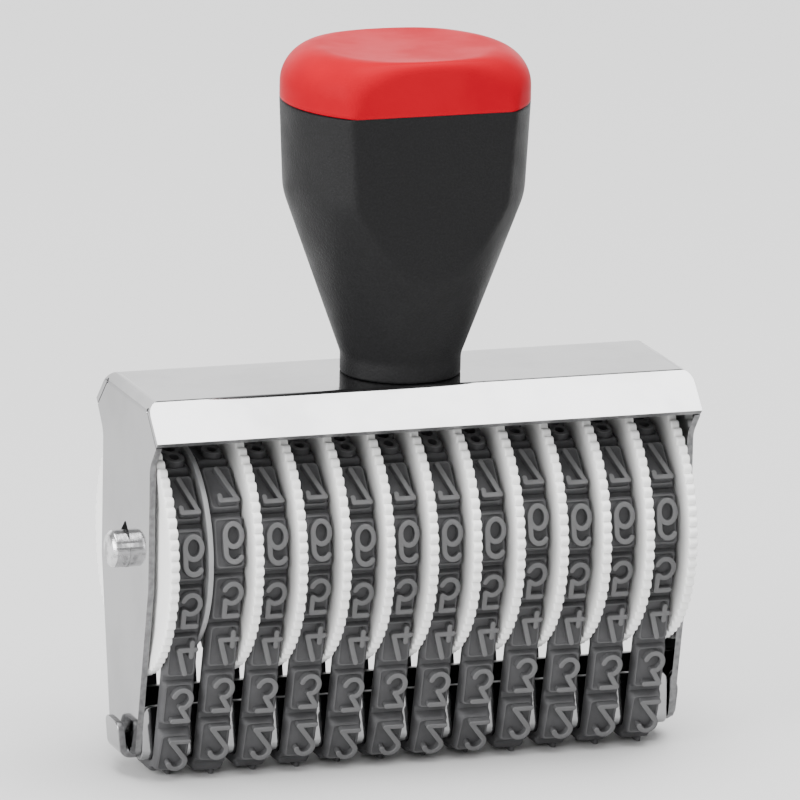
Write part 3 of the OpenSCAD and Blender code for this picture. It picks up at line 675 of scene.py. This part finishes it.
class BandPath:
    """The path of a band's middle surface in the plane across the axle, in millimetres from the
    axle. It starts under the middle of the bridge, turns round the bridge's front edge, goes
    straight up to the drum, over it and down the back."""

    def __init__(self, sizes, drum, bridge_bottom):
        half_belt = sizes.belt / MM / 2
        self.loop_r = drum + sizes.drum_gap / MM + half_belt
        self.turn_r = sizes.turn_radius / MM
        self.turn_y = sizes.flat / MM
        self.turn_z = bridge_bottom - sizes.bridge_gap / MM - half_belt + self.turn_r
        distance = math.hypot(self.turn_y, self.turn_z)
        self.straight = math.sqrt(distance**2 - (self.loop_r - self.turn_r) ** 2)
        self.lean = math.acos((self.loop_r - self.turn_r) / distance) + math.atan2(self.turn_y, -self.turn_z)
        self.turn_end = self.turn_y + self.turn_r * self.lean
        self.drum_start = self.turn_end + self.straight
        self.half = self.drum_start + self.loop_r * (math.pi - self.lean)
        self.pitch = 2 * self.half / len(CHARACTERS)

    def at(self, s):
        """Place [Y, Z] and angle from straight down at a length along the path."""
        s = np.asarray(s, float) % (2 * self.half)
        back = s > self.half
        f = np.where(back, 2 * self.half - s, s)
        turn = np.clip((f - self.turn_y) / self.turn_r, 0, self.lean)
        over = np.clip((f - self.drum_start) / self.loop_r, 0, None)
        up = np.clip(f - self.turn_end, 0, self.straight)
        y = -np.minimum(f, self.turn_y) - self.turn_r * np.sin(turn) - up * math.cos(self.lean)
        z = self.turn_z - self.turn_r * np.cos(turn) + up * math.sin(self.lean)
        angle = turn + over
        y = np.where(over > 0, -self.loop_r * np.sin(angle), y)
        z = np.where(over > 0, -self.loop_r * np.cos(angle), z)
        return np.where(back, -y, y), z, np.where(back, 2 * np.pi - angle, angle)

    def lifted(self, s, h):
        """Place at a height above the middle surface."""
        y, z, a = self.at(s)
        return y - h * np.sin(a), z - h * np.cos(a)

    def pad_angle(self, s):
        """Angle of the pad at a length along the path: flat against the bridge where it prints,
        and the mean direction of the path under it elsewhere."""
        if s < self.turn_y / 2:
            return 0.0
        (y0, z0, _), (y1, z1, _) = self.at(s - self.pitch / 2), self.at(s + self.pitch / 2)
        return math.atan2(z1 - z0, y0 - y1)

    def stretch(self, s, height):
        """How much longer a pad gets where the band bends round the drum."""
        f = min(s, 2 * self.half - s)
        return 1 + min(max((f - self.drum_start) / self.pitch + 0.5, 0), 1) * height / self.loop_r

    def on_pad(self, s, t, h):
        """Place at a distance along the pad's plane and a height above the middle surface."""
        a = self.pad_angle(s)
        y, z, _ = self.at(s)
        return y - h * math.sin(a) - t * math.cos(a), z - h * math.cos(a) + t * math.sin(a)


def oval(cx, cy, rx, ry, start, end):
    """Points of an elliptical arc in units of the figure's box, about one every 12 degrees."""
    a = np.radians(np.linspace(start, end, max(3, int(abs(end - start) / 12) + 1)))
    return np.stack([cx + rx * np.cos(a), cy + ry * np.sin(a)], -1)


def figure_strokes(name):
    """The middle lines of a figure's strokes, in a box from -1 to 1 each way."""
    lines = {
        "0": [joined(oval(0, 0.49, 1, 0.51, 0, 180), oval(0, -0.49, 1, 0.51, 180, 360))],
        "1": [[(-0.5, 0.62), (0.2, 1)], [(0.2, 1), (0.2, -1)]],
        "2": [joined(oval(0, 0.49, 1, 0.51, 165, -20), (-1, -1)), [(-1, -1), (1, -1)]],
        "3": [[(-1, 1), (0.85, 1)], [(0.85, 1), (-0.15, 0.14)],
              joined((-0.15, 0.14), oval(-0.05, -0.42, 1.05, 0.58, 75, -160))],
        "4": [[(-0.1, 1), (-1, -0.54)], [(-1, -0.54), (1, -0.54)], [(0.5, -0.1), (0.5, -1)]],
        "5": [[(0.75, 1), (-0.85, 1)], [(-0.85, 1), (-0.85, 0.02)],
              joined((-0.85, 0.02), oval(-0.05, -0.4, 1.05, 0.6, 105, -155))],
        "6": [oval(0, -0.4, 1, 0.6, 0, 360), joined((-1, -0.4), oval(0, 0.49, 1, 0.51, 180, 35))],
        "7": [[(-1, 0.7), (-1, 1)], [(-1, 1), (1, 1)], [(1, 1), (-0.55, -1)]],
        "8": [oval(0, 0.52, 0.85, 0.48, 0, 360), oval(0, -0.48, 1, 0.52, 0, 360)],
        "9": [oval(0, 0.4, 1, 0.6, 0, 360), joined((1, 0.4), oval(0, -0.49, 1, 0.51, 0, -145))],
        "-": [[(-0.75, 0), (0.75, 0)]],
        "/": [[(-0.8, -1), (0.8, 1)]],
        ".": [[(0, -1), (0.02, -0.95)]],
        "+": [[(-0.85, 0), (0.85, 0)], [(0, -0.45), (0, 0.45)]],
    }
    return [np.asarray(line, float) for line in lines[name]]


def turned_left(v):
    """Unit vectors turned a quarter turn to the left."""
    v = v / np.linalg.norm(v, axis=-1, keepdims=True)
    return np.stack([-v[..., 1], v[..., 0]], -1)


def stroke_rings(line, levels):
    """Rings round a stroke, one for each pair of offset and height. The ring at an offset runs
    along the left of the line, round its end, back along the right and round its start. A closed
    line gives two sides that are joined over the top."""
    if np.allclose(line[0], line[-1]):
        ring = line[:-1]
        side = turned_left(np.roll(ring, -1, 0) - np.roll(ring, 1, 0))
        both = [(-d, h) for d, h in levels[1:-1]] + levels[-2:0:-1]
        points = np.array([np.column_stack([ring + d * side, np.full(len(ring), h)]) for d, h in both])
        return points, True
    side = turned_left(np.gradient(line, axis=0))
    cap = np.radians(np.linspace(0, -180, 7))[1:-1]

    def round_end(middle, towards):
        a = math.atan2(towards[1], towards[0]) + cap
        return middle[None] + 0 * a[:, None], np.stack([np.cos(a), np.sin(a)], -1)

    end, end_way = round_end(line[-1], side[-1])
    start, start_way = round_end(line[0], -side[0])
    base = joined(line, end, line[::-1], start)
    way = joined(side, end_way, -side[::-1], start_way)
    return np.array([np.column_stack([base + d * way, np.full(len(base), h)]) for d, h in levels]), False


def rounded_rectangle(half_x, half_y, radius, corner_steps=5, edge_steps=5):
    """Points round a rectangle with rounded corners, the same number for every size."""
    points = []
    for k, (cx, cy) in enumerate([(1, 1), (-1, 1), (-1, -1), (1, -1)]):
        centre = (cx * (half_x - radius), cy * (half_y - radius))
        points.append(arc(centre, radius, 90 * k, 90 * k + 90, corner_steps))
    corners = points + [points[0]]
    loop = []
    for a, b in zip(corners[:-1], corners[1:]):
        loop.append(a)
        share = np.linspace(0, 1, edge_steps + 2)[1:-1][:, None]
        loop.append(a[-1] * (1 - share) + b[0] * share)
    return np.concatenate(loop)


def belt_surface(path, half_width, half_belt):
    """The plain belt: a flat section with rounded corners carried along the whole path."""
    corner, steps = 0.15, 300
    section = rounded_rectangle(half_width, half_belt, corner, corner_steps=3, edge_steps=3)
    s = np.linspace(0, 2 * path.half, steps, endpoint=False)[:, None]
    y, z = path.lifted(s, section[:, 1][None])
    return np.stack([section[:, 0] + 0 * y, y, z], -1)


def pad_surface(path, s, half_width, half_top, half_foot, half_belt, pad):
    """A pad, and the share of painted highlight on each ring of it. Its foot lies in the belt and
    follows the path, and the rings above it lie in the pad's plane. Both ends are closed in a middle point."""
    root, flare, foot_corner, rim_highlight = 0.2, 0.06, 0.3, 0.45
    foot = rounded_rectangle(half_width, half_foot + flare, foot_corner)
    middle = 0 * foot
    rows = []
    for ring in (middle, foot):
        y, z = path.lifted(s + ring[:, 1], half_belt - root)
        rows.append(np.stack([ring[:, 0], y, z], -1))
    rings = []
    for inset, beyond, share in PAD_RINGS:
        corner = max(0.2, 0.5 - 0.3 * inset)
        rings.append((rounded_rectangle(half_width - inset, half_top + beyond, corner), share))
    rings.append((middle, rings[-1][1]))
    for ring, share in rings:
        y, z = path.on_pad(s, ring[:, 1], half_belt + share * pad)
        rows.append(np.stack([ring[:, 0], y, z], -1))
    # The rim ring at the pad's full height gets a painted highlight
    highlight_and_wear = [0.0, 0.0] + [rim_highlight if share == 1.0 else 0.0 for _, share in rings]
    return np.array(rows), np.array(highlight_and_wear)[:, None]


def figure_levels(half_stroke, tall):
    """Offset from the middle of a stroke and height above the pad of each ring of a figure, from its
    root in the pad up a tapered side and over a rounded edge to the middle of its top."""
    root, flare = -0.35, 0.03
    edge = [(0.03, 0.12), (0.045, 0.04), (0.075, 0.01), (0.11, 0.0)]
    rounded = [(half_stroke - inwards, tall - below) for inwards, below in edge]
    return [(0, root), (half_stroke + flare, root), (half_stroke, 0.0), *rounded, (0, tall)]


def band_shapes(s, path, band_x, wound):
    """All surfaces of one band: belt, pads with a painted highlight on their rims, and figures. Each stroke
    of a figure lies a little lower than the one before, so that no two tops share a plane, and the figures
    show wear near their tops."""
    half_width, half_belt, half_stroke = s.width / MM / 2, s.belt / MM / 2, s.stroke / MM / 2
    pad, tall = s.pad / MM, s.type_height / MM
    lower, wear_start, wear_full = 0.004, 0.13, 0.03
    size = np.array([s.figure_width - s.stroke, s.figure_height - s.stroke]) / MM / 2
    levels = figure_levels(half_stroke, tall)
    shapes = Surfaces()
    shapes.grid(belt_surface(path, half_width, half_belt), along=True)
    for k, name in enumerate(CHARACTERS):
        if name == " ":
            continue
        place = wound + k * path.pitch
        stretch = path.stretch(place, half_belt + pad)
        half_foot, half_top = ((path.pitch - gap / MM) / 2 for gap in (s.foot_gap, s.top_gap))
        # The pad's tint is the painted highlight on its rim; the figures' tint below is wear
        points, highlight_and_wear = pad_surface(path, place, half_width, half_top * stretch, half_foot, half_belt, pad)
        shapes.grid(points, tint=highlight_and_wear)
        for index, line in enumerate(figure_strokes(name)):
            rings, closed = stroke_rings(line * size * (1, -stretch), levels)
            x, along, height = rings[..., 0] + s.shift / MM, rings[..., 1], rings[..., 2] - lower * index
            y, z = path.on_pad(place, along, half_belt + pad + height)
            highlight_and_wear = np.clip((height - tall + wear_start) / (wear_start - wear_full), 0, 1)
            shapes.grid(np.stack([x, y, z], -1), along=closed, tint=highlight_and_wear)
    shapes.move((band_x, 0, AXLE_Z / MM))
    return shapes


class STAMP_OT_number_bands(Operator):
    """Builds the twelve rubber bands with their pads and raised figures"""

    bl_idname = "stamp.number_bands"
    bl_label = "Number bands"

    def execute(self, context):
        s, colours = context.scene.stamp_bands, context.scene.stamp_colours
        rubber = rubber_finish(colours.rubber, colours.figure)
        bridge_bottom = (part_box("print_bridge")[0].z - AXLE_Z) / MM
        path = BandPath(s, context.scene.stamp_wheels.drum / MM, bridge_bottom)
        for number in range(1, WHEELS + 1):
            name, node = f"band_{number:02d}_rubber", f"number_band_{number:02d}"
            low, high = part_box(node)
            shapes = band_shapes(s, path, (low.x + high.x) / 2 / MM, WOUND_PAST[number - 1])
            add_piece(name, shapes.mesh(name), rubber, "stamp_body", node, sharp=50.0)
        return {"FINISHED"}


# ---- Handle ----


def between_flats(points, flat, softness):
    """Points beyond a flat are drawn onto it, with a soft crease: the distance across is the
    smooth minimum of itself and the flat's."""
    across = np.abs(points[..., 1])
    blend = np.clip(0.5 + 0.5 * (flat - across) / softness, 0, 1)
    limited = flat * (1 - blend) + across * blend - softness * blend * (1 - blend)
    out = points.copy()
    out[..., 1] = np.sign(points[..., 1]) * np.where(across < flat - softness, across, limited)
    return out


def smooth_profile(corners, radii):
    """A line through corners, each rounded by a parabola that leaves its sides where an arc of the
    corner's own radius would."""
    steps = 8
    corners = np.asarray(corners, float)
    rows = [corners[:1]]
    for p, q, r, radius in zip(corners[:-2], corners[1:-1], corners[2:], radii):
        u, v = p - q, r - q
        u, v = u / np.linalg.norm(u), v / np.linalg.norm(v)
        half = math.acos(np.clip(u @ v, -1, 1)) / 2
        reach = radius / math.tan(half)
        share = np.linspace(0, 1, steps)[:, None]
        a, b = q + u * reach, q + v * reach
        rows.append((1 - share) ** 2 * a + 2 * share * (1 - share) * q + share**2 * b)
    rows.append(corners[-1:])
    return np.concatenate(rows)


def filled(profile, spacing):
    """A profile with more points on its long stretches."""
    rows = []
    for a, b in zip(profile[:-1], profile[1:]):
        n = max(1, int(np.linalg.norm(b - a) / spacing))
        rows.append(a + (b - a) * np.linspace(0, 1, n, endpoint=False)[:, None])
    return np.concatenate(rows + [profile[-1:]])


def grip_profile(s, base, parting, widest):
    """Outline of the grip as radius and height, from the middle of its foot over the neck, the shoulder
    and the parting line to the middle of its end. The end isn't filled, because points there would fall
    together on the flats."""
    neck, shoulder, groove = s.neck_radius / MM, s.shoulder_radius / MM, s.groove / MM
    profile = smooth_profile(
        [(0, base), (neck, base), (neck, base + s.neck / MM), (shoulder, base + s.shoulder / MM),
         (widest, parting - groove), (widest - groove, parting), (0, parting)],
        [0.3, 2.2, 8.0, 0.1, 0.05],
    )
    return joined(filled(profile[:-1], spacing=0.45), profile[-1])


def cap_profile(s, parting, cap_top, widest):
    """Outline of the cap as radius and height, from the middle of its underside round its edge to the
    middle of its top, which is hollow: the depth falls with the square of the radius. The underside
    isn't filled, as on the grip."""
    edge, groove, hollow = s.edge / MM, s.groove / MM, s.hollow / MM
    underside, inset = parting + 0.02, 0.05
    rim = widest - edge
    rounded = arc((rim, cap_top - edge), edge, 0, 90, 22)
    radius = np.linspace(rim, 0, 14)[1:]
    top = np.column_stack([radius, cap_top - hollow * (1 - (radius / rim) ** 2)])
    side = joined((widest - groove - inset, underside), (widest, parting + groove), rounded, top)
    return joined((0, underside), filled(side, spacing=0.3))


class STAMP_OT_handle(Operator):
    """Builds the black grip and its red cap, round with two flats"""

    bl_idname = "stamp.handle"
    bl_label = "Grip and cap"

    def execute(self, context):
        s, colours = context.scene.stamp_handle, context.scene.stamp_colours
        low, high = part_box("handle_grip")
        base, parting, widest = low.z / MM, high.z / MM, high.x / MM
        cap_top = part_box("handle_cap")[1].z / MM
        flat, crease, cap_crease = s.flat / MM, s.crease / MM, s.cap_crease / MM

        outline = grip_profile(s, base, parting, widest)
        grip = Surfaces()
        grip.grid(between_flats(revolve_z(outline, steps=288), flat, crease))
        add_piece("grip_black", grip.mesh("grip_black"), grip_finish(colours.grip),
                  "stamp_body", "handle_grip", sharp=60.0)

        # The crease gets softer up the cap
        outline = cap_profile(s, parting, cap_top, widest)
        rise = np.clip((outline[:, 1] - parting) / (cap_top - parting), 0, 1)[:, None]
        cap = Surfaces()
        cap.grid(between_flats(revolve_z(outline, steps=360), flat, crease + (cap_crease - crease) * rise))
        add_piece("cap_red", cap.mesh("cap_red"), cap_finish(colours.cap),
                  "stamp_body", "handle_cap", sharp=60.0)
        return {"FINISHED"}


# ---- Studio ----


def soft_panel(name, place, aim, size, brightness):
    """A rectangular soft light that looks at a point. A brightness of 1 is as bright as a white
    sky of strength 1."""
    data = bpy.data.lights.new(name, "AREA")
    data.shape = "RECTANGLE"
    data.size, data.size_y = size
    data.energy = brightness * math.pi * size[0] * size[1]
    light = bpy.data.objects.new(name, data)
    bpy.context.scene.collection.objects.link(light)
    back = np.subtract(place, aim)
    back /= np.linalg.norm(back)
    looks_down = back[2] > 0.95
    side = np.cross((0, 1, 0) if looks_down else (0, 0, 1), back)
    side /= np.linalg.norm(side)
    turn = Matrix(np.column_stack([side, np.cross(back, side), back]).tolist()).to_4x4()
    light.matrix_world = Matrix.Translation(place) @ turn
    light.visible_camera = False


class STAMP_OT_studio(Operator):
    """Sets the pale floor, the soft light and the camera"""

    bl_idname = "stamp.studio"
    bl_label = "Studio"

    def execute(self, context):
        s = context.scene.stamp_studio
        floor_half = 6.0
        corners = [(x * floor_half, y * floor_half, 0) for x, y in ((-1, -1), (1, -1), (1, 1), (-1, 1))]
        floor_mesh = bpy.data.meshes.new("floor")
        floor_mesh.from_pydata(corners, [], [(0, 1, 2, 3)])
        floor_mesh.materials.append(floor_finish(context.scene.stamp_colours.floor))
        floor = bpy.data.objects.new("floor", floor_mesh)
        context.scene.collection.objects.link(floor)

        # Each panel: place, point it looks at, size and brightness
        soft_panel("ceiling_panel", (0.2, -0.1, 1.25), (0.2, -0.1, 0), (1.2, 1.2), s.ceiling)
        soft_panel("back_panel", (0.3, 1.6, 0.45), VIEW_MIDDLE, (2.4, 0.9), s.back)
        soft_panel("left_box", (-1.3, -0.35, 0.5), VIEW_MIDDLE, (1.2, 0.8), s.left)
        soft_panel("front_box", (-0.5, -1.25, 0.75), VIEW_MIDDLE, (0.6, 0.5), s.front)

        world = bpy.data.worlds.get("studio") or bpy.data.worlds.new("studio")
        world.use_nodes = True
        sky = world.node_tree.nodes["Background"]
        sky.inputs["Color"].default_value = (1, 1, 1, 1)
        sky.inputs["Strength"].default_value = s.sky
        context.scene.world = world

        a, e, roll = s.azimuth, s.elevation, s.roll
        ahead = np.array([math.sin(a) * math.cos(e), math.cos(a) * math.cos(e), -math.sin(e)])
        level = np.array([math.cos(a), -math.sin(a), 0.0])
        rise = np.cross(level, ahead)
        right = math.cos(roll) * level + math.sin(roll) * rise
        up = math.cos(roll) * rise - math.sin(roll) * level
        place = np.array(VIEW_MIDDLE) + right * s.aim_right + up * s.aim_up - ahead * s.distance
        data = bpy.data.cameras.new("camera")
        data.lens = s.lens
        data.sensor_width = 36
        data.clip_end = 50
        camera = bpy.data.objects.new("camera", data)
        context.scene.collection.objects.link(camera)
        turn = Matrix(np.column_stack([right, up, -ahead]).tolist()).to_4x4()
        camera.matrix_world = Matrix.Translation(place.tolist()) @ turn
        context.scene.camera = camera
        return {"FINISHED"}


class STAMP_PT_sidebar(Panel):
    """Lists the stamp's pieces and their sizes"""

    bl_label = "Numbering Stamp"
    bl_idname = "STAMP_PT_sidebar"
    bl_space_type = "VIEW_3D"
    bl_region_type = "UI"
    bl_category = "Stamp"

    def draw(self, context):
        layout = self.layout
        for operator in OPERATORS:
            layout.operator(operator.bl_idname)
        for name, group in GROUPS.items():
            box = layout.box()
            box.label(text=group.__doc__)
            for entry in group.__annotations__:
                box.prop(getattr(context.scene, name), entry)


GROUPS = {
    "stamp_sheet": SheetSizes,
    "stamp_bands": BandSizes,
    "stamp_wheels": WheelSizes,
    "stamp_handle": HandleSizes,
    "stamp_colours": FinishColours,
    "stamp_studio": StudioSettings,
}
OPERATORS = [
    STAMP_OT_sheet_metal,
    STAMP_OT_turned_parts,
    STAMP_OT_thumbwheels,
    STAMP_OT_number_bands,
    STAMP_OT_handle,
    STAMP_OT_studio,
]


def register():
    """Registers the classes and puts the settings on the scene."""
    for item in (*GROUPS.values(), *OPERATORS, STAMP_PT_sidebar):
        bpy.utils.register_class(item)
    for name, group in GROUPS.items():
        setattr(bpy.types.Scene, name, PointerProperty(type=group))


def unregister():
    """Takes the settings and classes away again."""
    for name in GROUPS:
        delattr(bpy.types.Scene, name)
    for item in reversed((*GROUPS.values(), *OPERATORS, STAMP_PT_sidebar)):
        bpy.utils.unregister_class(item)


def main():
    """Builds every piece and the studio."""
    register()
    bpy.ops.stamp.sheet_metal()
    bpy.ops.stamp.turned_parts()
    bpy.ops.stamp.thumbwheels()
    bpy.ops.stamp.number_bands()
    bpy.ops.stamp.handle()
    bpy.ops.stamp.studio()


if __name__ == "__main__":
    main()
